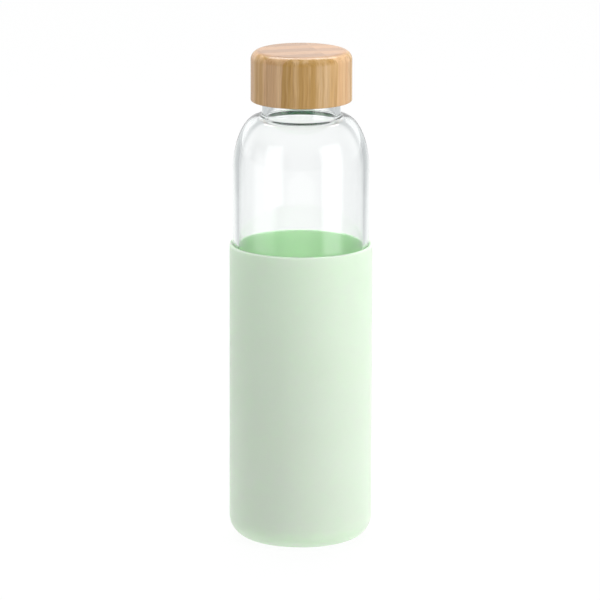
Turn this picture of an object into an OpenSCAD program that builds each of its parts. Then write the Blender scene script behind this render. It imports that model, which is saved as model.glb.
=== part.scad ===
// Glass water bottle with a silicone sleeve and a screw lid of laminated bamboo.
// Millimetres. The origin is the centre of the foot, +Z is up the bottle's axis, and the lid is screwed home.

/* [Overall] */
// Height from the table to the top of the lid
total_h = 226; // [215:1:245]

/* [Glass] */
// Outer diameter of the glass body
body_d = 62; // [60:0.5:66]
// Thickness of the body wall
glass_wall = 2.7; // [2.2:0.1:3.2]
// Thickness of the glass under the drink
glass_floor = 5; // [4:0.5:7]
// Rise of the pushed-up centre of the base
punt_rise = 2.4; // [1:0.2:3]
// Height of the domed shoulder
shoulder_h = 25; // [20:1:30]
// Outer diameter of the neck
neck_d = 35.8; // [34.4:0.2:36.6]
// Bore of the neck at the rim
mouth_d = 28.6; // [26:0.2:29]

/* [Thread] */
// Lead of the single-start thread
pitch = 4.2; // [3.6:0.1:4.8]
// Turns of thread on the glass and in the lid
turns = 1.5; // [1:0.25:1.75]
// Height of the glass thread above the neck
thread_h = 1.2; // [0.9:0.1:1.3]

/* [Sleeve] */
// Height of the silicone sleeve
sleeve_h = 137; // [100:1:150]
// Thickness of the sleeve wall
sleeve_wall = 1.45; // [1.2:0.05:2]
// Thickness of the sleeve floor
sleeve_floor = 2; // [1.6:0.1:3]
// Outer radius of the sleeve's bottom corner
sleeve_corner = 10; // [6:0.5:12]

/* [Lid] */
// Outer diameter of the bamboo shell
lid_d = 46; // [45:0.5:50]
// Height of the bamboo shell
lid_h = 23; // [22:0.5:26]
// Radius of the shell's top edge
lid_edge = 4.2; // [2:0.2:5]
// Thickness of the bamboo over the liner
lid_top = 5.5; // [5:0.5:7]
// Turn of the glue lines about the axis
lamella_turn = 16; // [0:1:90]
// Distance from the axis to the left glue line
left_glue = 19.8; // [10:0.2:20]
// Distance from the axis to the right glue line
right_glue = 7; // [4:0.5:16]

/* [Hidden] */

$fn = 96;
arc_steps = 12;          // segments in a quarter of a round stretch of an outline
slip = 0.05;             // gap where a removable piece slides on another

body_r = body_d / 2;
neck_r = neck_d / 2;
mouth_r = mouth_d / 2;
lid_r = lid_d / 2;
lid_z = total_h - lid_h;

// Sleeve
sleeve_in = body_r + slip;
sleeve_out = sleeve_in + sleeve_wall;
lip_r = 0.6;             // rounding of the sleeve's lip
foot_recess = 0.6;       // depth of the recess inside the foot ring
foot_ring_w = 6;         // width of the flat foot ring

// Glass body
glass_z = sleeve_floor + slip;
glass_corner = sleeve_corner - sleeve_wall;
inner_r = body_r - glass_wall;
inner_corner = 6;
inner_z = glass_z + glass_floor;
neck_fillet = 1.3;       // where the shoulder meets the neck, outside
bore_fillet = 2.5;       // where the shoulder meets the bore, inside
shoulder_wall = 1.9;     // thickness at the top of the shoulder
shoulder_gap = 5.6;      // bare neck between the fillet and the lid
neck_z = lid_z - shoulder_gap;
shoulder_top = neck_z - neck_fillet;
shoulder_z = shoulder_top - shoulder_h;
throat_r = mouth_r + 1.2;
throat_z = shoulder_top - shoulder_wall;
rim_round = 1.4;

// Lid pieces, stacked down from the top
liner_recess = 0.4;      // bamboo edge below the liner
glue_gap = 0.1;
liner_wall = 1.35;
liner_plate = 1.4;
seal_t = 1.6;
seal_gap = 0.03;         // above and below the ring, and round its edge
thread_clear = 0.35;     // radial gap over the thread crests
liner_bore = neck_r + thread_h + thread_clear;
liner_out = liner_bore + liner_wall;
pocket_r = liner_out + glue_gap;
pocket_z = total_h - lid_top;
plate_z = pocket_z - glue_gap - liner_plate;
seal_z = plate_z - seal_gap - seal_t;
rim_z = seal_z - seal_gap;
seal_out = liner_bore - 0.1;
seal_in = mouth_r - 0.7;
bead_r = 0.25;           // retaining bead that keeps the ring in the liner

// Thread. The lid's ridge hangs half a lead under the glass's ridge, less the play in the screw.
thread_base = 2.0;       // width of a ridge where it leaves its wall
thread_crest = 0.9;      // width of a ridge at its crest
thread_play = 0.12;
glass_thread_top = rim_z - 2.6;
glass_thread_z = glass_thread_top - turns * pitch;
ridge_in = neck_r + 0.4; // inner reach of the lid's ridge
ridge_offset = thread_base + thread_play - 0.25;
steps_per_turn = 60;
ramp_turns = 0.08;       // run-in and run-out of each ridge, in turns

// Points on an ellipse from angle a0 to a1, seen in the radius and height plane.
function arc(c, rx, rz, a0, a1, n = arc_steps) =
    [for (i = [0:n]) let (a = a0 + (a1 - a0) * i / n) [c[0] + rx * cos(a), c[1] + rz * sin(a)]];

// One station of a ridge: four corners, sunk into the wall at both ends of the thread.
function ridge_ring(t, wall_r, crest_r, z0, n_turns) =
    let (
        a = 360 * t,
        sink = sign(wall_r - crest_r) * 0.4,
        rise = min(1, t / ramp_turns, (n_turns - t) / ramp_turns),
        tip = wall_r + sink * 0.25 + (crest_r - wall_r - sink * 0.25) * max(0, rise),
        root = wall_r + sink,
        z = z0 + pitch * t,
        hb = thread_base / 2,
        hc = thread_crest / 2
    )
    [for (q = [[root, -hb], [tip, -hc], [tip, hc], [root, hb]]) [q[0] * cos(a), q[0] * sin(a), z + q[1]]];

// A right-handed helical ridge that stands on wall_r and reaches crest_r, inwards or outwards.
module helical_ridge(wall_r, crest_r, z0, n_turns = turns) {
    n = round(n_turns * steps_per_turn);
    points = [for (i = [0:n]) each ridge_ring(n_turns * i / n, wall_r, crest_r, z0, n_turns)];
    sides = [for (i = [0:n - 1], j = [0:3]) let (k = (j + 1) % 4)
        each [[4 * i + j, 4 * i + k, 4 * i + 4 + k], [4 * i + j, 4 * i + 4 + k, 4 * i + 4 + j]]];
    first = [[3, 2, 1], [3, 1, 0]];
    last = [[4 * n, 4 * n + 1, 4 * n + 2], [4 * n, 4 * n + 2, 4 * n + 3]];
    faces = concat(sides, first, last);
    outwards = crest_r > wall_r;
    polyhedron(points, outwards ? faces : [for (f = faces) [f[2], f[1], f[0]]], convexity = 6);
}

// Silicone cup with a rounded lip, which grips the glass and stands on a foot ring.
module silicone_sleeve() {
    inner_corner_r = sleeve_corner - sleeve_wall;
    recess_r = sleeve_out - sleeve_corner - foot_ring_w;
    color([0.80, 0.91, 0.80])
    rotate_extrude()
    polygon(concat(
        [[0, foot_recess], [recess_r, foot_recess], [recess_r, 0]],
        arc([sleeve_out - sleeve_corner, sleeve_corner], sleeve_corner, sleeve_corner, -90, 0),
        arc([sleeve_out - lip_r, sleeve_h - lip_r], lip_r, lip_r, 0, 90, 5),
        arc([sleeve_in + lip_r, sleeve_h - lip_r], lip_r, lip_r, 90, 180, 5),
        arc([sleeve_in - inner_corner_r, sleeve_floor + inner_corner_r], inner_corner_r, inner_corner_r, 0, -90),
        [[0, sleeve_floor]]
    ));
}

// Outer outline of the glass, from the centre of the base up to the rim.
function glass_outside() = concat(
    [[0, glass_z + punt_rise]],
    arc([0, glass_z], body_r - glass_corner - 1.5, punt_rise, 80, 0, 10),
    arc([body_r - glass_corner, glass_z + glass_corner], glass_corner, glass_corner, -90, 0),
    arc([neck_r + neck_fillet, shoulder_z], body_r - neck_r - neck_fillet, shoulder_h, 0, 90, 24),
    arc([neck_r + neck_fillet, neck_z], neck_fillet, neck_fillet, -95, -180, 6),
    arc([neck_r - rim_round, rim_z - rim_round], rim_round, rim_round, 0, 90, 6)
);

// Inner outline of the glass, from the rim down to the centre of the floor.
function glass_inside() = concat(
    arc([mouth_r + rim_round, rim_z - rim_round], rim_round, rim_round, 90, 180, 6),
    arc([throat_r + bore_fillet, throat_z + bore_fillet], bore_fillet, bore_fillet, 180, 265, 6),
    arc([throat_r + bore_fillet, shoulder_z], inner_r - throat_r - bore_fillet, throat_z - shoulder_z, 90, 0, 24),
    arc([inner_r - inner_corner, inner_z + inner_corner], inner_corner, inner_corner, 0, -90),
    arc([0, inner_z], inner_r - inner_corner - 2, punt_rise * 0.8, 0, 80, 10),
    [[0, inner_z + punt_rise * 0.8]]
);

// One piece of moulded clear glass, with the lid's thread on its neck.
module glass_body() {
    color([0.85, 0.93, 0.90, 0.35])
    union() {
        rotate_extrude() polygon(concat(glass_outside(), glass_inside()));
        helical_ridge(neck_r, neck_r + thread_h, glass_thread_z);
    }
}

// Silicone ring that the lid presses on the rim.
module seal_ring() {
    edge = 0.3;
    color([0.93, 0.94, 0.93])
    rotate_extrude()
    polygon(concat(
        arc([seal_out - edge, seal_z + edge], edge, edge, -90, 0, 4),
        arc([seal_out - edge, seal_z + seal_t - edge], edge, edge, 0, 90, 4),
        arc([seal_in + edge, seal_z + seal_t - edge], edge, edge, 90, 180, 4),
        arc([seal_in + edge, seal_z + edge], edge, edge, 180, 270, 4)
    ));
}

// Moulded plastic cup inside the bamboo: the plate, the skirt, the ridge and the bead under the seal ring.
module threaded_liner() {
    liner_z = lid_z + liner_recess;
    lead_in = 0.5;
    bead_z = seal_z - bead_r - 0.1;
    color([0.94, 0.93, 0.90])
    union() {
        rotate_extrude()
        polygon(concat(
            [[0, plate_z], [liner_bore, plate_z], [liner_bore, bead_z + bead_r]],
            arc([liner_bore, bead_z], bead_r, bead_r, 90, 270, 6),
            [
                [liner_bore, liner_z + lead_in], [liner_bore + lead_in, liner_z],
                [liner_out, liner_z], [liner_out, plate_z + liner_plate], [0, plate_z + liner_plate]
            ]
        ));
        helical_ridge(liner_bore, ridge_in, glass_thread_z - ridge_offset);
    }
}

// The turned bamboo shell as one solid, before it is parted at its glue lines.
module turned_shell() {
    bottom_edge = 0.5;
    rotate_extrude()
    polygon(concat(
        [[0, pocket_z], [pocket_r, pocket_z], [pocket_r, lid_z]],
        arc([lid_r - bottom_edge, lid_z + bottom_edge], bottom_edge, bottom_edge, -90, 0, 4),
        arc([lid_r - lid_edge, total_h - lid_edge], lid_edge, lid_edge, 0, 90, arc_steps),
        [[0, total_h]]
    ));
}

// The part of the shell between two glue lines, given as distances from the axis.
module bamboo_block(from, to) {
    color([0.80, 0.66, 0.44])
    intersection() {
        turned_shell();
        rotate([0, 0, lamella_turn])
        translate([from, -lid_d, lid_z - 1]) cube([to - from, 2 * lid_d, lid_h + 2]);
    }
}

module bamboo_block_left() bamboo_block(-lid_d, -left_glue);
module bamboo_block_middle() bamboo_block(-left_glue, right_glue);
module bamboo_block_right() bamboo_block(right_glue, lid_d);

silicone_sleeve();
glass_body();
seal_ring();
threaded_liner();
bamboo_block_left();
bamboo_block_middle();
bamboo_block_right();
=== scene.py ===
"""Looks of a glass water bottle with a silicone sleeve and a screw lid of laminated bamboo.

Every visible piece is a surface of revolution worked out on a grid of two parameters, the place along
its outline and the angle round the bottle's axis, with screw threads added on that grid and fine relief in
the finishes.
Lengths in the classes are millimetres, and MM turns them into scene metres.
"""

import logging
import math
from dataclasses import dataclass, field
from enum import Enum

import bmesh
import bpy
import numpy as np
from mathutils import Matrix, Vector


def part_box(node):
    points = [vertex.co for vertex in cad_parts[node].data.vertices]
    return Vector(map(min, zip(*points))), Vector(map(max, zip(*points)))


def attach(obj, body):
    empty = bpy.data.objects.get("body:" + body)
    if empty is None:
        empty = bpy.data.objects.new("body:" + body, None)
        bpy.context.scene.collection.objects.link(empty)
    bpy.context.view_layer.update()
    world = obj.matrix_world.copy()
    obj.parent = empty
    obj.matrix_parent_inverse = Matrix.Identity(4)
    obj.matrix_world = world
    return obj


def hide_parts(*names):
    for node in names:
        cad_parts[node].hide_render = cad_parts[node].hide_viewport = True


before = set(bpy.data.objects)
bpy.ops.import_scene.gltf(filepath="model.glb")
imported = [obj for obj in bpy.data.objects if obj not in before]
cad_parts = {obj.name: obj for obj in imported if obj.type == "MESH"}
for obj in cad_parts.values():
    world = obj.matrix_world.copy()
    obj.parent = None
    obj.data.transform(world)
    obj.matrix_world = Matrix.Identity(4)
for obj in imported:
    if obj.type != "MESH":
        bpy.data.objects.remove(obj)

LOG = logging.getLogger("bottle")
MM = 0.001
# A feathered light is a stack of this many layers, this many metres apart so that none hides another.
FEATHER_LAYERS = 5
LAYER_GAP = 0.002

Array = np.ndarray


# ---------------------------------------------------------------------------------------------- outlines


def arc(
    centre: tuple[float, float],
    radii: tuple[float, float],
    start: float,
    end: float,
    steps: int,
) -> Array:
    """A stretch of an ellipse in the plane of radius and height: centre + radii * (cos a, sin a).

    Args:
        centre: The ellipse's centre as (radius, height).
        radii: Its half-widths along the radius and along the height.
        start: First angle in degrees, from the outward direction towards up.
        end: Last angle in degrees.
        steps: Number of equal steps between the two angles.

    Returns:
        An array of (steps + 1, 2) points.
    """
    a = np.radians(np.linspace(start, end, steps + 1))
    return np.column_stack((centre[0] + radii[0] * np.cos(a), centre[1] + radii[1] * np.sin(a)))


def run(start: tuple[float, float], end: tuple[float, float], steps: int) -> Array:
    """A straight stretch of an outline, its points closer together near both ends.

    The share of the way is (1 - cos(pi t)) / 2 for t from 0 to 1, which keeps the shading of a long
    straight wall true right up to the rounding that it runs into.

    Args:
        start: First point as (radius, height).
        end: Last point.
        steps: Number of steps.

    Returns:
        An array of (steps + 1, 2) points.
    """
    share = (1 - np.cos(np.pi * np.linspace(0, 1, steps + 1))) / 2
    return np.outer(1 - share, start) + np.outer(share, end)


def even_run(start: tuple[float, float], end: tuple[float, float], spacing: float) -> Array:
    """A straight stretch with evenly spaced points, for a wall that carries a thread."""
    steps = max(1, math.ceil(math.dist(start, end) / spacing))
    share = np.linspace(0, 1, steps + 1)
    return np.outer(1 - share, start) + np.outer(share, end)


def outline(*stretches: Array) -> Array:
    """Joins stretches end to end and drops each point that repeats the one before it.

    Args:
        *stretches: Arrays of (radius, height) points in millimetres, in order.

    Returns:
        One array of points.
    """
    points = np.vstack(stretches)
    step = np.linalg.norm(np.diff(points, axis=0), axis=1)
    return points[np.concatenate(([True], step > 1e-4))]


# ---------------------------------------------------------------------------------------------- surfaces


@dataclass(frozen=True)
class Thread:
    """A single-start right-handed screw ridge, given as a relief on a round wall.

    The ridge's middle line climbs one lead for each turn. A wall point at height z and angle a lies
    z - (foot + lead * turn) above the nearest pass of that line, and the relief there falls from the
    full height at the crest to nothing at the root, over both flanks. It fades in and out at the ends.
    Crest and root are half-widths of the ridge in millimetres, and fade is a share of a turn.
    """

    foot: float
    lead: float
    turns: float
    height: float
    crest: float = 0.45
    root: float = 1.0
    fade: float = 0.08

    def relief(self, angle: Array, z: Array) -> Array:
        """Height of the ridge over the wall.

        Args:
            angle: Angles round the axis in radians, from 0 to a full turn.
            z: Heights in millimetres, the same shape as angle.

        Returns:
            The relief in millimetres, the same shape.
        """
        share = angle / (2 * np.pi)
        turn = share + np.round((z - self.foot) / self.lead - share)
        off = np.abs(z - self.foot - self.lead * turn)
        flank = np.clip((self.root - off) / (self.root - self.crest), 0, 1)
        ends = np.clip(np.minimum(turn, self.turns - turn) / self.fade, 0, 1)
        return self.height * smooth(flank) * smooth(ends)


def smooth(share: Array) -> Array:
    """An S-shaped ease between 0 and 1: 3 s^2 - 2 s^3."""
    return share * share * (3 - 2 * share)


def revolve(profile: Array, segments: int, relief: Array | None = None) -> Array:
    """Carries an outline round the axis: x = r cos a, y = r sin a, z = height.

    Args:
        profile: (rows, 2) points of radius and height, in millimetres.
        segments: Number of equal steps round the axis.
        relief: Optional (rows, segments) array added to the radius, in millimetres.

    Returns:
        A (rows, segments, 3) grid of points in metres.
    """
    angle = turn_angles(segments)
    radius = np.repeat(profile[:, :1], segments, axis=1)
    if relief is not None:
        radius = radius + relief
    height = np.repeat(profile[:, 1:], segments, axis=1)
    return np.dstack((radius * np.cos(angle), radius * np.sin(angle), height)) * MM


def turn_angles(segments: int) -> Array:
    """Equal angles round one turn, in radians, without the repeated last one."""
    return np.arange(segments) * (2 * np.pi / segments)


def skin(name: str, grid: Array, ring: bool) -> bpy.types.Object:
    """Makes a closed mesh from a grid of points that goes round the axis.

    A row whose points all lie on the axis becomes one pole, so the surface closes there with a fan of
    triangles. A ring-shaped piece has no poles: its last row is joined to its first.

    Args:
        name: Name of the new object and mesh.
        grid: (rows, segments, 3) points in metres, the outline running so that faces point outwards.
        ring: True to join the last row to the first.

    Returns:
        The new object, at the origin.
    """
    rows, segments, _ = grid.shape
    index = np.arange(rows * segments).reshape(rows, segments)
    here = np.vstack((index, index[:1])) if ring else index
    there = np.roll(here, -1, axis=1)
    faces = np.stack((here[:-1], there[:-1], there[1:], here[1:]), axis=-1).reshape(-1, 4)
    mesh = bpy.data.meshes.new(name)
    mesh.from_pydata(grid.reshape(-1, 3), [], faces.tolist())
    tidy = bmesh.new()
    tidy.from_mesh(mesh)
    if not ring:
        for row in (0, rows - 1):
            tidy.verts.ensure_lookup_table()
            pole = [tidy.verts[i] for i in index[row]]
            bmesh.ops.pointmerge(tidy, verts=pole, merge_co=Vector(grid[row].mean(axis=0)))
            tidy.verts.index_update()
            if row == 0:
                index = index - (segments - 1)
    tidy.normal_update()
    tidy.to_mesh(mesh)
    tidy.free()
    piece = bpy.data.objects.new(name, mesh)
    bpy.context.scene.collection.objects.link(piece)
    return piece


def shade(piece: bpy.types.Object, sharp_over: float) -> None:
    """Shades a piece smoothly, apart from the edges that turn by more than an angle in degrees."""
    piece.data.shade_smooth()
    piece.data.set_sharp_from_angle(angle=math.radians(sharp_over))


def keep_between(piece: bpy.types.Object, turn: float, low: float | None, high: float | None) -> None:
    """Cuts a closed piece down to the part between two upright planes and closes the cuts.

    The planes are square to the direction that lies turn degrees round from +X.

    Args:
        piece: The object to cut.
        turn: Direction of the planes' normal, in degrees round the axis.
        low: Distance from the axis to the first plane in millimetres, or None for no cut there.
        high: Distance to the second plane, or None.
    """
    normal = Vector((math.cos(math.radians(turn)), math.sin(math.radians(turn)), 0))
    shape = bmesh.new()
    shape.from_mesh(piece.data)
    for distance, outward in ((low, -normal), (high, normal)):
        if distance is None:
            continue
        bmesh.ops.bisect_plane(
            shape,
            geom=[*shape.verts, *shape.edges, *shape.faces],
            dist=1e-7,
            plane_co=normal * (distance * MM),
            plane_no=outward,
            clear_outer=True,
        )
        rim = [edge for edge in shape.edges if edge.is_boundary]
        bmesh.ops.holes_fill(shape, edges=rim, sides=0)
    bmesh.ops.recalc_face_normals(shape, faces=shape.faces)
    bmesh.ops.triangulate(shape, faces=[face for face in shape.faces if len(face.verts) > 4])
    shape.to_mesh(piece.data)
    shape.free()


# ---------------------------------------------------------------------------------------------- finishes


def linear(colour: str) -> tuple[float, float, float, float]:
    """Turns an sRGB hex colour such as #C9DEC8 into the linear RGBA that shaders take."""
    channels = (int(colour[i : i + 2], 16) / 255 for i in (1, 3, 5))
    return (*(c / 12.92 if c <= 0.04045 else ((c + 0.055) / 1.055) ** 2.4 for c in channels), 1.0)


def add_node(
    tree: bpy.types.NodeTree,
    kind: str,
    inputs: dict | None = None,
    **settings: object,
) -> bpy.types.Node:
    """Adds a node with its settings, its constants and its links.

    Args:
        tree: The node tree to add to.
        kind: Type name of the node, such as ShaderNodeMath.
        inputs: Input name or number to a constant, or to the output socket that feeds it.
        **settings: Properties of the node itself.

    Returns:
        The new node.
    """
    node = tree.nodes.new(kind)
    for key, value in settings.items():
        setattr(node, key, value)
    for key, value in (inputs or {}).items():
        if isinstance(value, bpy.types.NodeSocket):
            tree.links.new(value, node.inputs[key])
        else:
            node.inputs[key].default_value = value
    return node


def blank_material(name: str) -> tuple[bpy.types.Material, bpy.types.NodeTree]:
    """A new material with an empty node tree."""
    material = bpy.data.materials.new(name)
    material.use_nodes = True
    material.node_tree.nodes.clear()
    return material, material.node_tree


@dataclass(frozen=True)
class MouldedSilicone:
    """Pigmented silicone rubber from a fine matt mould: soft, even, with no sharp reflection.

    The eye reads it by its broad dull sheen, by a little light that seeps through thin edges, green
    further than red and blue, and by a faint unevenness of tone where the rubber thins and thickens.
    Cloud size, grain and seep are in millimetres.
    """

    name: str = "moulded_silicone_mint"
    colour: str = "#CCF6C8"
    cloud: str = "#C9F3C3"
    roughness: float = 0.52
    cloud_size: float = 26.0
    skin_grain: float = 0.35
    grain_depth: float = 0.01
    seep: float = 7.0
    seep_of_colours: tuple[float, float, float] = (0.7, 1.0, 0.68)

    def build(self) -> bpy.types.Material:
        """Makes the material."""
        material, tree = blank_material(self.name)
        place = add_node(tree, "ShaderNodeTexCoord").outputs["Object"]
        clouds = add_node(
            tree,
            "ShaderNodeTexNoise",
            {"Vector": place, "Scale": 1 / (self.cloud_size * MM), "Detail": 3.0, "Roughness": 0.55},
        )
        tone = add_node(
            tree,
            "ShaderNodeMix",
            {0: clouds.outputs["Fac"], 6: linear(self.colour), 7: linear(self.cloud)},
            data_type="RGBA",
        )
        grain = add_node(
            tree,
            "ShaderNodeTexNoise",
            {"Vector": place, "Scale": 1 / (self.skin_grain * MM), "Detail": 2.0},
        )
        relief = add_node(
            tree,
            "ShaderNodeBump",
            {"Height": grain.outputs["Fac"], "Distance": self.grain_depth * MM, "Strength": 0.35},
        )
        surface = add_node(
            tree,
            "ShaderNodeBsdfPrincipled",
            {
                "Base Color": tone.outputs[2],
                "Roughness": self.roughness,
                "IOR": 1.41,
                "Specular IOR Level": 0.4,
                "Subsurface Weight": 1.0,
                "Subsurface Radius": self.seep_of_colours,
                "Subsurface Scale": self.seep * MM,
                "Normal": relief.outputs["Normal"],
            },
        )
        add_node(tree, "ShaderNodeOutputMaterial", {"Surface": surface.outputs[0]})
        return material


@dataclass(frozen=True)
class SodaLimeGlass:
    """Clear pressed-and-blown soda-lime glass, fire-polished, with the faint green of its iron."""

    name: str = "soda_lime_glass_clear"
    tint: str = "#D8ECEA"
    density: float = 22.0

    def build(self) -> bpy.types.Material:
        """Makes the material: a clear dielectric that absorbs a little red light in its depth."""
        material, tree = blank_material(self.name)
        surface = add_node(
            tree,
            "ShaderNodeBsdfPrincipled",
            {
                "Base Color": (1.0, 1.0, 1.0, 1.0),
                "Roughness": 0.0,
                "IOR": 1.51,
                "Transmission Weight": 1.0,
            },
        )
        depth = add_node(
            tree,
            "ShaderNodeVolumeAbsorption",
            {"Color": linear(self.tint), "Density": self.density},
        )
        add_node(
            tree,
            "ShaderNodeOutputMaterial",
            {"Surface": surface.outputs[0], "Volume": depth.outputs[0]},
        )
        return material


@dataclass(frozen=True)
class LaminatedBamboo:
    """Bamboo strips glued face to face, turned on a lathe with the fibres upright, oiled and buffed.

    The pattern is a solid one. Dark bundles of fibre run up through paler pith, closer together towards
    one face of each strip, so the side shows upright lines, the top shows end grain, and the rounded
    edge between them shows the bundles cut across as specks. Lengths are in millimetres, row_shift is a
    share of a strip, and the rest are shares of the colours or of their brightness.
    """

    name: str
    turn: float
    row_shift: float
    along_row: float
    tone: float
    rosiness: float
    strip: float = 7.4
    bundle_pitch: float = 0.9
    streak: float = 0.45
    patch: float = 3.4
    wander: float = 1.1
    stretch: float = 0.02
    relief: float = 0.02
    rosy_swing: float = 0.3
    streak_values: tuple[float, float] = (0.9, 1.13)
    row_values: tuple[float, float] = (0.74, 1.1)
    speck: float = 0.12
    bundle_share: float = 0.42
    end_grain_share: float = 0.78
    pith: str = "#CDAC82"
    olive: str = "#A68044"
    rosy: str = "#BE9670"
    bundle: str = "#8E6631"
    end_grain: str = "#AA8264"
    roughness: float = 0.27

    def build(self) -> bpy.types.Material:
        """Makes the material."""
        material, tree = blank_material(self.name)
        place = add_node(tree, "ShaderNodeTexCoord")
        stem = self.stem(tree, place.outputs["Object"])
        across, odd = self.strips(tree, stem)
        fibres = add_node(
            tree, "ShaderNodeVectorMath", {0: stem, 1: (1.0, 1.0, self.stretch)}, operation="MULTIPLY"
        ).outputs[0]
        bundles = self.bundles(tree, fibres, across)
        streaks = self.noise(tree, fibres, self.streak, 3.0)
        wood = self.wood(tree, fibres, streaks, bundles, odd)
        finished = self.cut_across(tree, place.outputs["Normal"], wood, streaks, odd)
        height = add_node(tree, "ShaderNodeMath", {0: bundles, 1: streaks}, operation="ADD")
        relief = add_node(
            tree,
            "ShaderNodeBump",
            {"Height": height.outputs[0], "Distance": self.relief * MM, "Strength": 0.5},
        )
        surface = add_node(
            tree,
            "ShaderNodeBsdfPrincipled",
            {
                "Base Color": finished,
                "Roughness": self.roughness,
                "IOR": 1.5,
                "Normal": relief.outputs["Normal"],
            },
        )
        add_node(tree, "ShaderNodeOutputMaterial", {"Surface": surface.outputs[0]})
        return material

    def stem(self, tree: bpy.types.NodeTree, place: bpy.types.NodeSocket) -> bpy.types.NodeSocket:
        """Place within the strips, in millimetres: X along a row, Y across the rows, Z up the fibres.

        The fibres lean and wander by a few tenths of a millimetre over the height of the lid.
        """
        turned = add_node(
            tree,
            "ShaderNodeMapping",
            {"Vector": place, "Rotation": (0.0, 0.0, -math.radians(self.turn)), "Scale": (1 / MM,) * 3},
            vector_type="POINT",
        ).outputs[0]
        drift = add_node(
            tree, "ShaderNodeTexNoise", {"Vector": turned, "Scale": 0.07, "Detail": 1.0}
        ).outputs["Color"]
        lean = add_node(
            tree,
            "ShaderNodeVectorMath",
            {0: drift, 1: (self.wander, self.wander, 0.0)},
            operation="MULTIPLY",
        ).outputs[0]
        leant = add_node(
            tree, "ShaderNodeVectorMath", {0: turned, 1: lean}, operation="ADD"
        ).outputs[0]
        middle = self.wander / 2
        shift = (self.along_row - middle, self.row_shift * self.strip - middle, 0.0)
        return add_node(
            tree, "ShaderNodeVectorMath", {0: leant, 1: shift}, operation="ADD"
        ).outputs[0]

    def strips(
        self, tree: bpy.types.NodeTree, stem: bpy.types.NodeSocket
    ) -> tuple[bpy.types.NodeSocket, bpy.types.NodeSocket]:
        """Share of the way across the strip, and 0 or 1 for every other strip."""
        parts = add_node(tree, "ShaderNodeSeparateXYZ", {0: stem})
        rows = add_node(
            tree, "ShaderNodeMath", {0: parts.outputs["Y"], 1: self.strip}, operation="DIVIDE"
        ).outputs[0]
        across = add_node(tree, "ShaderNodeMath", {0: rows}, operation="FRACT").outputs[0]
        row = add_node(tree, "ShaderNodeMath", {0: rows}, operation="FLOOR").outputs[0]
        odd = add_node(tree, "ShaderNodeMath", {0: row, 1: 2.0}, operation="FLOORED_MODULO").outputs[0]
        return across, odd

    def bundles(
        self, tree: bpy.types.NodeTree, fibres: bpy.types.NodeSocket, across: bpy.types.NodeSocket
    ) -> bpy.types.NodeSocket:
        """Fibre bundles: round cells that grow from one face of each strip to the other."""
        cells = add_node(
            tree,
            "ShaderNodeTexVoronoi",
            {"Vector": fibres, "Scale": 1 / self.bundle_pitch, "Randomness": 1.0},
        )
        reach = add_node(
            tree, "ShaderNodeMapRange", {"Value": across, "To Min": 0.2, "To Max": 0.5}
        ).outputs[0]
        inside = add_node(
            tree, "ShaderNodeMath", {0: reach, 1: cells.outputs["Distance"]}, operation="SUBTRACT"
        ).outputs[0]
        return add_node(
            tree,
            "ShaderNodeMapRange",
            {"Value": inside, "From Min": -0.1, "From Max": 0.2},
            interpolation_type="SMOOTHSTEP",
        ).outputs[0]

    def noise(
        self, tree: bpy.types.NodeTree, fibres: bpy.types.NodeSocket, size: float, detail: float
    ) -> bpy.types.NodeSocket:
        """Noise drawn out along the fibres, its patches about size millimetres wide."""
        return add_node(
            tree,
            "ShaderNodeTexNoise",
            {"Vector": fibres, "Scale": 1 / size, "Detail": detail, "Roughness": 0.6},
        ).outputs["Fac"]

    def wood(
        self,
        tree: bpy.types.NodeTree,
        fibres: bpy.types.NodeSocket,
        streaks: bpy.types.NodeSocket,
        bundles: bpy.types.NodeSocket,
        odd: bpy.types.NodeSocket,
    ) -> bpy.types.NodeSocket:
        """Colour along the fibres: rosy or olive strips, paler pith in patches, streaks and bundles."""
        rosy = add_node(
            tree,
            "ShaderNodeMapRange",
            {
                "Value": odd,
                "To Min": self.rosiness + self.rosy_swing,
                "To Max": self.rosiness - self.rosy_swing,
            },
        ).outputs[0]
        strip = add_node(
            tree, "ShaderNodeMix", {0: rosy, 6: linear(self.olive), 7: linear(self.rosy)}, data_type="RGBA"
        ).outputs[2]
        pale = add_node(
            tree,
            "ShaderNodeMapRange",
            {"Value": self.noise(tree, fibres, self.patch, 2.0), "From Min": 0.4, "From Max": 0.85},
        ).outputs[0]
        body = add_node(
            tree, "ShaderNodeMix", {0: pale, 6: strip, 7: linear(self.pith)}, data_type="RGBA"
        ).outputs[2]
        value = add_node(
            tree,
            "ShaderNodeMapRange",
            {
                "Value": streaks,
                "From Min": 0.3,
                "From Max": 0.7,
                "To Min": self.streak_values[0] + self.tone,
                "To Max": self.streak_values[1] + self.tone,
            },
        ).outputs[0]
        streaked = add_node(tree, "ShaderNodeHueSaturation", {"Value": value, "Color": body}).outputs[0]
        share = add_node(
            tree, "ShaderNodeMath", {0: bundles, 1: self.bundle_share}, operation="MULTIPLY"
        ).outputs[0]
        return add_node(
            tree, "ShaderNodeMix", {0: share, 6: streaked, 7: linear(self.bundle)}, data_type="RGBA"
        ).outputs[2]

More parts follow.
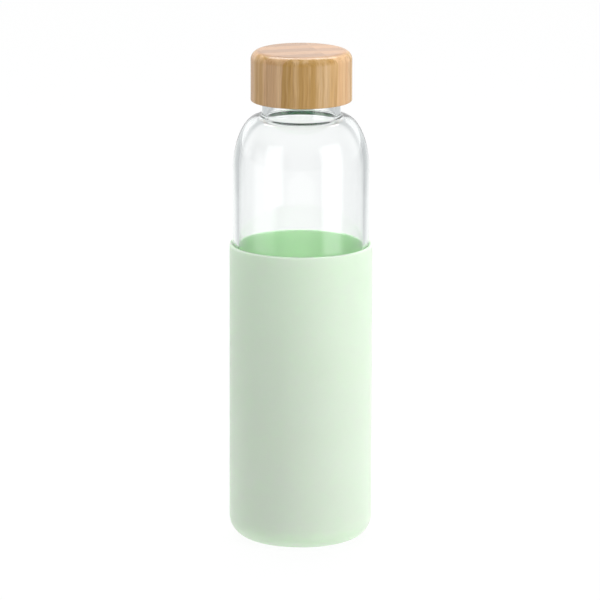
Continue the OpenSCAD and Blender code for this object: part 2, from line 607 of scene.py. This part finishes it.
    def cut_across(
        self,
        tree: bpy.types.NodeTree,
        normal: bpy.types.NodeSocket,
        wood: bpy.types.NodeSocket,
        streaks: bpy.types.NodeSocket,
        odd: bpy.types.NodeSocket,
    ) -> bpy.types.NodeSocket:
        """Colour with the end grain on faces that look up: a rosy buff, lighter on every other strip."""
        strip = add_node(
            tree,
            "ShaderNodeMapRange",
            {
                "Value": odd,
                "To Min": self.row_values[0] + self.tone,
                "To Max": self.row_values[1] + self.tone,
            },
        ).outputs[0]
        speck = add_node(
            tree, "ShaderNodeMapRange", {"Value": streaks, "To Min": -self.speck, "To Max": self.speck}
        ).outputs[0]
        value = add_node(tree, "ShaderNodeMath", {0: strip, 1: speck}, operation="ADD").outputs[0]
        buff = add_node(
            tree, "ShaderNodeHueSaturation", {"Value": value, "Color": linear(self.end_grain)}
        ).outputs[0]
        up = add_node(tree, "ShaderNodeSeparateXYZ", {0: normal}).outputs["Z"]
        share = add_node(
            tree,
            "ShaderNodeMapRange",
            {"Value": up, "From Min": 0.8, "From Max": 0.99, "To Max": self.end_grain_share},
            interpolation_type="SMOOTHSTEP",
        ).outputs[0]
        return add_node(
            tree, "ShaderNodeMix", {0: share, 6: wood, 7: buff}, data_type="RGBA"
        ).outputs[2]


@dataclass(frozen=True)
class MouldedPolypropylene:
    """Natural polypropylene from a polished mould: waxy off-white that glows a little at its edges.

    Flow marks, in millimetres, leave the skin a little shinier in some places than in others.
    """

    name: str = "moulded_polypropylene_natural"
    colour: str = "#EDEBE3"
    roughness: float = 0.34
    roughness_swing: float = 0.06
    flow_mark: float = 6.0

    def build(self) -> bpy.types.Material:
        """Makes the material."""
        material, tree = blank_material(self.name)
        place = add_node(tree, "ShaderNodeTexCoord").outputs["Object"]
        flow = add_node(
            tree,
            "ShaderNodeTexNoise",
            {"Vector": place, "Scale": 1 / (self.flow_mark * MM), "Detail": 2.0},
        )
        rough = add_node(
            tree,
            "ShaderNodeMapRange",
            {
                "Value": flow.outputs["Fac"],
                "To Min": self.roughness - self.roughness_swing,
                "To Max": self.roughness + self.roughness_swing,
            },
        )
        surface = add_node(
            tree,
            "ShaderNodeBsdfPrincipled",
            {
                "Base Color": linear(self.colour),
                "Roughness": rough.outputs[0],
                "IOR": 1.49,
                "Subsurface Weight": 0.3,
                "Subsurface Radius": (1.0, 0.9, 0.8),
                "Subsurface Scale": 1.2 * MM,
            },
        )
        add_node(tree, "ShaderNodeOutputMaterial", {"Surface": surface.outputs[0]})
        return material


@dataclass(frozen=True)
class LightTable:
    """Opal acrylic lit from beneath: a strip of plain white that eases to pale grey on both sides.

    The clear glass shows the grey sides along its edges. The strip's inner and outer limits are in metres.
    """

    name: str = "opal_acrylic_light_table"
    colour: str = "#303030"
    middle: str = "#F9F9F9"
    sides: str = "#C4C6C7"
    strip: tuple[float, float] = (0.2, 0.5)

    def build(self) -> bpy.types.Material:
        """Makes the material. The strip's glow depends on the distance from the middle line, in metres."""
        material, tree = blank_material(self.name)
        place = add_node(tree, "ShaderNodeTexCoord").outputs["Object"]
        parts = add_node(tree, "ShaderNodeSeparateXYZ", {0: place})
        off = add_node(tree, "ShaderNodeMath", {0: parts.outputs["X"]}, operation="ABSOLUTE")
        share = add_node(
            tree,
            "ShaderNodeMapRange",
            {"Value": off.outputs[0], "From Min": self.strip[0], "From Max": self.strip[1]},
            interpolation_type="SMOOTHSTEP",
        )
        glow = add_node(
            tree,
            "ShaderNodeMix",
            {0: share.outputs[0], 6: linear(self.middle), 7: linear(self.sides)},
            data_type="RGBA",
        )
        surface = add_node(
            tree,
            "ShaderNodeBsdfPrincipled",
            {
                "Base Color": linear(self.colour),
                "Roughness": 0.9,
                "Specular IOR Level": 0.1,
                "Emission Color": glow.outputs[2],
                "Emission Strength": 1.0,
            },
        )
        add_node(tree, "ShaderNodeOutputMaterial", {"Surface": surface.outputs[0]})
        return material


# ---------------------------------------------------------------------------------------------- the bottle


@dataclass(frozen=True)
class Span:
    """How far a turned node of the frame reaches, in millimetres."""

    radius: float
    bottom: float
    top: float

    @classmethod
    def of(cls, node: str) -> "Span":
        """Reads the span of a node from the frame."""
        low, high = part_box(node)
        return cls(max(high.x, -low.x, high.y, -low.y) / MM, low.z / MM, high.z / MM)


def finish_piece(
    piece: bpy.types.Object, body: str, slot: str, material: bpy.types.Material, *stands_for: str
) -> None:
    """Dresses a piece, hangs it on its body and hides the plain nodes that it stands for.

    Args:
        piece: The finished mesh object.
        body: The moving body it rides on.
        slot: The record's material slot; not used.
        material: Its material.
        *stands_for: Nodes of the frame that it replaces.
    """
    piece.data.materials.append(material)
    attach(piece, body)
    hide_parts(*stands_for)
    LOG.info("%s: %d faces on body %s", piece.name, len(piece.data.polygons), body)


@dataclass
class SiliconeSleeve:
    """The soft cup that the glass stands in."""

    segments: int = 224
    wall: float = 1.45
    floor: float = 2.0
    corner: float = 10.0
    lip: float = 0.6
    recess: float = 0.6
    ring_width: float = 6.0
    ring_edge: float = 0.3

    def build(self) -> bpy.types.Object:
        """Turns the cup's outline: foot recess, foot ring, corner, wall, lip, inner wall, floor."""
        span = Span.of("silicone_sleeve")
        outer, top = span.radius, span.top
        inner, corner = outer - self.wall, self.corner
        inner_corner = corner - self.wall
        ring_in = outer - corner - self.ring_width
        edge = self.ring_edge
        profile = outline(
            run((0, self.recess), (ring_in, self.recess), 8),
            arc((ring_in + edge, edge), (edge, edge), 180, 270, 4),
            run((ring_in + edge, 0), (outer - corner, 0), 4),
            arc((outer - corner, corner), (corner, corner), -90, 0, 28),
            run((outer, corner), (outer, top - self.lip), 20),
            arc((outer - self.lip, top - self.lip), (self.lip, self.lip), 0, 90, 8),
            arc((inner + self.lip, top - self.lip), (self.lip, self.lip), 90, 180, 8),
            run((inner, top - self.lip), (inner, self.floor + inner_corner), 20),
            arc((inner - inner_corner, self.floor + inner_corner), (inner_corner,) * 2, 0, -90, 20),
            run((inner - inner_corner, self.floor), (0, self.floor), 8),
        )
        piece = skin("sleeve_cup", revolve(profile, self.segments), ring=False)
        shade(piece, 40)
        finish_piece(piece, "sleeve", "sleeve_silicone", MouldedSilicone().build(), "silicone_sleeve")
        return piece


@dataclass
class GlassBottle:
    """The moulded glass body, one closed wall with the lid's thread on its neck."""

    segments: int = 224
    wall: float = 2.7
    floor: float = 5.0
    corner: float = 8.55
    inner_corner: float = 6.0
    punt: float = 2.4
    inner_punt: float = 1.92
    punt_margin: float = 1.5
    foot_ring: float = 0.8
    shoulder: float = 25.0
    shoulder_wall: float = 1.9
    neck: float = 17.9
    mouth: float = 14.3
    throat: float = 15.5
    neck_fillet: float = 1.3
    bore_fillet: float = 2.5
    rim_round: float = 1.4
    bare_neck: float = 5.6
    thread_drop: float = 2.6
    lead: float = 4.2
    turns: float = 1.5
    thread_height: float = 1.2
    thread_margin: float = 1.4
    thread_spacing: float = 0.15

    def build(self) -> bpy.types.Object:
        """Turns the outer and inner outlines, then raises the thread on the neck."""
        span = Span.of("glass_body")
        lid_bottom = Span.of("bamboo_block_middle").bottom
        body, base, rim = span.radius, span.bottom, span.top
        neck_bottom = lid_bottom - self.bare_neck
        dome_top = neck_bottom - self.neck_fillet
        dome_foot = dome_top - self.shoulder
        throat_z = dome_top - self.shoulder_wall
        corner, inner_corner = self.corner, self.inner_corner
        inner, inner_base = body - self.wall, base + self.floor
        thread_top = rim - self.thread_drop
        thread_foot = thread_top - self.turns * self.lead
        zone = (thread_foot - self.thread_margin, thread_top + self.thread_margin)
        fillet, bore_fillet, rounding = self.neck_fillet, self.bore_fillet, self.rim_round
        dome_r, throat_r = self.neck + fillet, self.throat + bore_fillet
        outside = outline(
            arc((0, base), (body - corner - self.punt_margin, self.punt), 90, 4, 24),
            run((body - corner - self.foot_ring, base), (body - corner, base), 3),
            arc((body - corner, base + corner), (corner, corner), -90, 0, 28),
            run((body, base + corner), (body, dome_foot), 24),
            arc((dome_r, dome_foot), (body - dome_r, self.shoulder), 0, 90, 56),
            arc((dome_r, neck_bottom), (fillet, fillet), -90, -180, 12),
            run((self.neck, neck_bottom), (self.neck, zone[0]), 8),
            even_run((self.neck, zone[0]), (self.neck, zone[1]), self.thread_spacing),
            arc((self.neck - rounding, rim - rounding), (rounding, rounding), 0, 90, 10),
        )
        inside = outline(
            arc((self.mouth + rounding, rim - rounding), (rounding, rounding), 90, 180, 10),
            run((self.mouth, rim - rounding), (self.throat, throat_z + bore_fillet), 12),
            arc((throat_r, throat_z + bore_fillet), (bore_fillet, bore_fillet), 180, 270, 14),
            arc((throat_r, dome_foot), (inner - throat_r, throat_z - dome_foot), 90, 0, 48),
            run((inner, dome_foot), (inner, inner_base + inner_corner), 24),
            arc((inner - inner_corner, inner_base + inner_corner), (inner_corner,) * 2, 0, -90, 20),
            arc((0, inner_base), (inner - inner_corner - self.punt_margin, self.inner_punt), 4, 90, 20),
        )
        profile = outline(outside, inside)
        thread = Thread(thread_foot, self.lead, self.turns, self.thread_height)
        angle = np.tile(turn_angles(self.segments), (len(profile), 1))
        height = np.repeat(profile[:, 1:], self.segments, axis=1)
        on_neck = (profile[:, 0] > self.neck - 0.01) & (height[:, 0] > zone[0])
        relief = thread.relief(angle, height) * on_neck[:, None]
        piece = skin("bottle_glass", revolve(profile, self.segments, relief), ring=False)
        shade(piece, 60)
        finish_piece(piece, "bottle", "clear_glass", SodaLimeGlass().build(), "glass_body")
        return piece


@dataclass
class SealRing:
    """The flat silicone ring between the rim and the lid."""

    segments: int = 160
    edge: float = 0.3
    bore: float = 13.6

    def build(self) -> bpy.types.Object:
        """Turns a flat ring with four rounded edges."""
        span = Span.of("seal_ring")
        edge, outer = self.edge, span.radius
        corners = (
            (outer - edge, span.bottom + edge, -90),
            (outer - edge, span.top - edge, 0),
            (self.bore + edge, span.top - edge, 90),
            (self.bore + edge, span.bottom + edge, 180),
        )
        profile = outline(*(arc((r, z), (edge, edge), start, start + 90, 6) for r, z, start in corners))
        piece = skin("seal", revolve(profile, self.segments), ring=True)
        shade(piece, 40)
        finish = MouldedSilicone("moulded_silicone_white", "#E9EBE8", "#E2E5E1", 0.42, 14.0)
        finish_piece(piece, "seal", "seal_silicone", finish.build(), "seal_ring")
        return piece


@dataclass
class ThreadedLiner:
    """The moulded cup inside the bamboo, with the ridge that engages the glass."""

    segments: int = 200
    wall: float = 1.35
    plate: float = 1.4
    lead_in: float = 0.5
    bead: float = 0.25
    lead: float = 4.2
    turns: float = 1.5
    thread_height: float = 1.15
    thread_drop: float = 2.6
    thread_margin: float = 1.4
    thread_spacing: float = 0.15
    offset: float = 1.87
    bottom_edge: float = 0.2
    top_edge: float = 0.4

    def build(self) -> bpy.types.Object:
        """Turns the cup's outline and raises the ridge and the bead inside its skirt."""
        span = Span.of("threaded_liner")
        seal = Span.of("seal_ring")
        rim = Span.of("glass_body").top
        outer, bottom, top = span.radius, span.bottom, span.top
        bore, plate_z = outer - self.wall, top - self.plate
        bead_z = seal.bottom - self.bead - 0.1
        thread_foot = rim - self.thread_drop - self.turns * self.lead - self.offset
        below_thread = thread_foot - self.thread_margin
        low_edge, high_edge = self.bottom_edge, self.top_edge
        profile = outline(
            run((0, plate_z), (bore, plate_z), 10),
            run((bore, plate_z), (bore, bead_z + self.bead), 4),
            arc((bore, bead_z), (self.bead, self.bead), 90, 270, 8),
            even_run((bore, bead_z - self.bead), (bore, below_thread), self.thread_spacing),
            run((bore, below_thread), (bore, bottom + self.lead_in), 4),
            arc((bore + self.lead_in, bottom + self.lead_in), (self.lead_in,) * 2, 180, 270, 6),
            run((bore + self.lead_in, bottom), (outer - low_edge, bottom), 2),
            arc((outer - low_edge, bottom + low_edge), (low_edge, low_edge), -90, 0, 4),
            run((outer, bottom + low_edge), (outer, top - high_edge), 10),
            arc((outer - high_edge, top - high_edge), (high_edge, high_edge), 0, 90, 6),
            run((outer - high_edge, top), (0, top), 8),
        )
        thread = Thread(thread_foot, self.lead, self.turns, self.thread_height)
        angle = np.tile(turn_angles(self.segments), (len(profile), 1))
        height = np.repeat(profile[:, 1:], self.segments, axis=1)
        on_bore = (np.abs(profile[:, 0] - bore) < 0.01) & (height[:, 0] < bead_z - self.bead)
        relief = -thread.relief(angle, height) * on_bore[:, None]
        piece = skin("lid_liner", revolve(profile, self.segments, relief), ring=False)
        shade(piece, 40)
        finish_piece(piece, "lid", "liner_plastic", MouldedPolypropylene().build(), "threaded_liner")
        return piece


class Block(Enum):
    """The three glued blocks of the lid's shell, in order across the glue lines."""

    LEFT = "bamboo_block_left"
    MIDDLE = "bamboo_block_middle"
    RIGHT = "bamboo_block_right"


@dataclass
class BambooShell:
    """The turned bamboo shell of the lid, parted at its two glue lines."""

    segments: int = 288
    edge: float = 4.2
    bottom_edge: float = 0.5
    pocket_edge: float = 0.3
    pocket: float = 20.9
    cover: float = 5.5
    turn: float = 16.0
    left_glue: float = -19.8
    right_glue: float = 7.0
    finishes: dict[Block, LaminatedBamboo] = field(default_factory=dict)

    def __post_init__(self) -> None:
        """Gives each block strips of its own tone and stagger."""
        self.finishes = {
            Block.LEFT: LaminatedBamboo("laminated_bamboo_left", self.turn, 0.35, 93.0, 0.12, 0.55),
            Block.MIDDLE: LaminatedBamboo("laminated_bamboo_middle", self.turn, 0.4257, 341.0, 0.0, 0.3),
            Block.RIGHT: LaminatedBamboo("laminated_bamboo_right", self.turn, 0.7, 713.0, 0.12, 0.45),
        }

    def profile(self) -> Array:
        """The shell's outline, from the middle of the pocket's ceiling round to the middle of the top."""
        span = Span.of(Block.MIDDLE.value)
        outer, bottom, top = span.radius, span.bottom, span.top
        pocket, pocket_edge = self.pocket, self.pocket_edge
        low_edge, high_edge = self.bottom_edge, self.edge
        ceiling = top - self.cover
        return outline(
            run((0, ceiling), (pocket, ceiling), 8),
            run((pocket, ceiling), (pocket, bottom + pocket_edge), 8),
            arc((pocket + pocket_edge, bottom + pocket_edge), (pocket_edge, pocket_edge), 180, 270, 4),
            run((pocket + pocket_edge, bottom), (outer - low_edge, bottom), 3),
            arc((outer - low_edge, bottom + low_edge), (low_edge, low_edge), -90, 0, 6),
            run((outer, bottom + low_edge), (outer, top - high_edge), 12),
            arc((outer - high_edge, top - high_edge), (high_edge, high_edge), 0, 90, 24),
            run((outer - high_edge, top), (0, top), 12),
        )

    def build(self) -> list[bpy.types.Object]:
        """Turns the whole shell once for each block and cuts it at the glue lines beside the block."""
        grid = revolve(self.profile(), self.segments)
        limits = {
            Block.LEFT: (None, self.left_glue),
            Block.MIDDLE: (self.left_glue, self.right_glue),
            Block.RIGHT: (self.right_glue, None),
        }
        pieces = []
        for block, (low, high) in limits.items():
            piece = skin(block.value.replace("bamboo", "lid"), grid, ring=False)
            keep_between(piece, self.turn, low, high)
            shade(piece, 35)
            finish_piece(piece, "lid", "bamboo", self.finishes[block].build(), block.value)
            pieces.append(piece)
        return pieces


# ---------------------------------------------------------------------------------------------- the studio


@dataclass
class Softbox:
    """A rectangular soft light that looks at the middle of the bottle.

    Angles are in degrees and lengths in metres. A light that isn't seen in glass shades only the sleeve
    and the lid, and leaves no highlight.
    """

    name: str
    azimuth: float
    elevation: float
    distance: float
    width: float
    height: float
    radiance: float
    feather: float = 0.0
    seen_in_glass: bool = True

    def place(self, target: Vector) -> None:
        """Hangs the light. Azimuth 0 is the camera's side, and it grows towards +X.

        A feathered light is a stack of equal layers, from smaller to larger than the nominal size by
        the share in feather, so that it fades out over its border.

        Args:
            target: The point that the light faces, in metres.
        """
        a, e = math.radians(self.azimuth), math.radians(self.elevation)
        back = Vector((math.sin(a) * math.cos(e), -math.cos(a) * math.cos(e), math.sin(e)))
        layers = FEATHER_LAYERS if self.feather else 1
        for layer in range(layers):
            size = 1 + self.feather * ((2 * layer + 1) / layers - 1)
            lamp = bpy.data.lights.new(self.name, "AREA")
            lamp.shape = "RECTANGLE"
            lamp.size, lamp.size_y = self.width * size, self.height * size
            lamp.energy = self.radiance / layers * math.pi * lamp.size * lamp.size_y
            light = bpy.data.objects.new(self.name, lamp)
            light.location = target + back * (self.distance + layer * LAYER_GAP)
            light.rotation_euler = back.to_track_quat("Z", "Y").to_euler()
            light.visible_camera = False
            light.visible_glossy = light.visible_transmission = self.seen_in_glass
            bpy.context.scene.collection.objects.link(light)


@dataclass
class Studio:
    """A light table for a floor, a pale room, soft lights all round and a long lens.

    Angles are in degrees, the lens and the aim are in millimetres, and other lengths are in metres.
    """

    lens: float = 335.5
    sensor: float = 36.0
    distance: float = 2.55
    camera_elevation: float = 12.63
    camera_roll: float = 0.15
    aim: tuple[float, float] = (-0.38, 110.35)
    floor_radius: float = 40.0
    wall: str = "#FDFEFE"
    left_side: str = "#343638"
    right_side: str = "#C9CBCC"
    camera_side: str = "#85878A"
    ceiling: str = "#C4C6C8"
    brightness: float = 1.1
    softboxes: tuple[Softbox, ...] = (
        Softbox("key_right", 54.0, 8.0, 0.36, 0.23, 0.32, 1.9, feather=0.35),
        Softbox("low_left", -65.0, 3.0, 0.36, 0.27, 0.25, 0.95, feather=0.35),
        Softbox("fill_right", 62.0, 0.0, 0.8, 0.6, 0.2, 4.5, seen_in_glass=False),
        Softbox("high_front", 15.0, 68.0, 1.5, 1.0, 1.0, 3.0, seen_in_glass=False),
        Softbox("rim_left", -148.0, 0.0, 0.8, 0.5, 0.2, 3.6, seen_in_glass=False),
        Softbox("rim_right", 150.0, 0.0, 0.8, 0.5, 0.2, 3.2, seen_in_glass=False),
        Softbox("back_overhead", 180.0, 62.0, 1.4, 1.5, 0.45, 8.0),
    )

    def floor(self) -> bpy.types.Object:
        """The table's flat top, a disc: radius times the cosine and sine of the angle, at height 0."""
        share = np.linspace(0, 1, 12) ** 2
        profile = np.column_stack((share * self.floor_radius / MM, np.zeros_like(share)))[::-1]
        grid = revolve(profile, 96)
        rows, segments, _ = grid.shape
        index = np.arange(rows * segments).reshape(rows, segments)
        ahead = np.roll(index, -1, axis=1)
        faces = np.stack((index[:-1], ahead[:-1], ahead[1:], index[1:]), axis=-1).reshape(-1, 4)
        mesh = bpy.data.meshes.new("light_table")
        mesh.from_pydata(grid.reshape(-1, 3), [], faces.tolist())
        piece = bpy.data.objects.new("light_table", mesh)
        bpy.context.scene.collection.objects.link(piece)
        mesh.materials.append(LightTable().build())
        return piece

    def room_light(self) -> None:
        """A pale room: a white wall straight behind, greyer on the other sides, and a dimmer ceiling.

        The colour depends on the direction of sight alone. Round the horizon it eases from the left
        side to the right, then to the camera's side as the direction swings to -Y, and to the white wall
        as it swings to +Y. From there it eases to the ceiling as it rises.
        """
        world = bpy.data.worlds.new("pale_room")
        world.use_nodes = True
        tree = world.node_tree
        tree.nodes.clear()
        sight = add_node(tree, "ShaderNodeTexCoord").outputs["Generated"]
        parts = add_node(tree, "ShaderNodeSeparateXYZ", {0: sight})
        colour = linear(self.left_side)
        for axis, low, high, shade_name in (
            ("X", -0.3, 0.4, self.right_side),
            ("Y", 0.0, -0.7, self.camera_side),
            ("Y", 0.0, 0.5, self.wall),
            ("Z", 0.15, 0.65, self.ceiling),
        ):
            share = add_node(
                tree,
                "ShaderNodeMapRange",
                {"Value": parts.outputs[axis], "From Min": low, "From Max": high},
                interpolation_type="SMOOTHSTEP",
            )
            colour = add_node(
                tree,
                "ShaderNodeMix",
                {0: share.outputs[0], 6: colour, 7: linear(shade_name)},
                data_type="RGBA",
            ).outputs[2]
        air = add_node(tree, "ShaderNodeBackground", {"Color": colour, "Strength": self.brightness})
        add_node(tree, "ShaderNodeOutputWorld", {"Surface": air.outputs[0]})
        bpy.context.scene.world = world

    def camera(self) -> None:
        """A long lens at a low height, looking slightly down at the middle of the bottle."""
        e = math.radians(self.camera_elevation)
        back = Vector((0, -math.cos(e), math.sin(e)))
        target = Vector((self.aim[0] * MM, 0, self.aim[1] * MM))
        data = bpy.data.cameras.new("long_lens")
        data.lens, data.sensor_width = self.lens, self.sensor
        data.clip_start, data.clip_end = 0.1, 200.0
        camera = bpy.data.objects.new("long_lens", data)
        camera.location = target + back * self.distance
        turn = back.to_track_quat("Z", "Y").to_matrix().to_4x4()
        roll = Vector((0, 0, 1))
        camera.rotation_euler = (turn @ Matrix.Rotation(math.radians(self.camera_roll), 4, roll)).to_euler()
        bpy.context.scene.collection.objects.link(camera)
        bpy.context.scene.camera = camera

    def build(self) -> None:
        """Sets up floor, room, lights and camera, and shows tones as they are."""
        self.floor()
        self.room_light()
        target = Vector((0, 0, self.aim[1] * MM))
        for softbox in self.softboxes:
            softbox.place(target)
        self.camera()
        scene = bpy.context.scene
        scene.view_settings.view_transform = "Standard"
        # Light has to cross many glass walls to reach the inside of the sleeve and of the lid.
        scene.cycles.max_bounces = 40
        scene.cycles.transmission_bounces = 40
        scene.cycles.glossy_bounces = 16
        scene.cycles.diffuse_bounces = 10


def main() -> None:
    """Builds the bottle piece by piece, then the studio."""
    logging.basicConfig(level=logging.INFO, format="%(name)s: %(message)s")
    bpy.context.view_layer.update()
    SiliconeSleeve().build()
    GlassBottle().build()
    SealRing().build()
    ThreadedLiner().build()
    BambooShell().build()
    Studio().build()


if __name__ == "__main__":
    main()
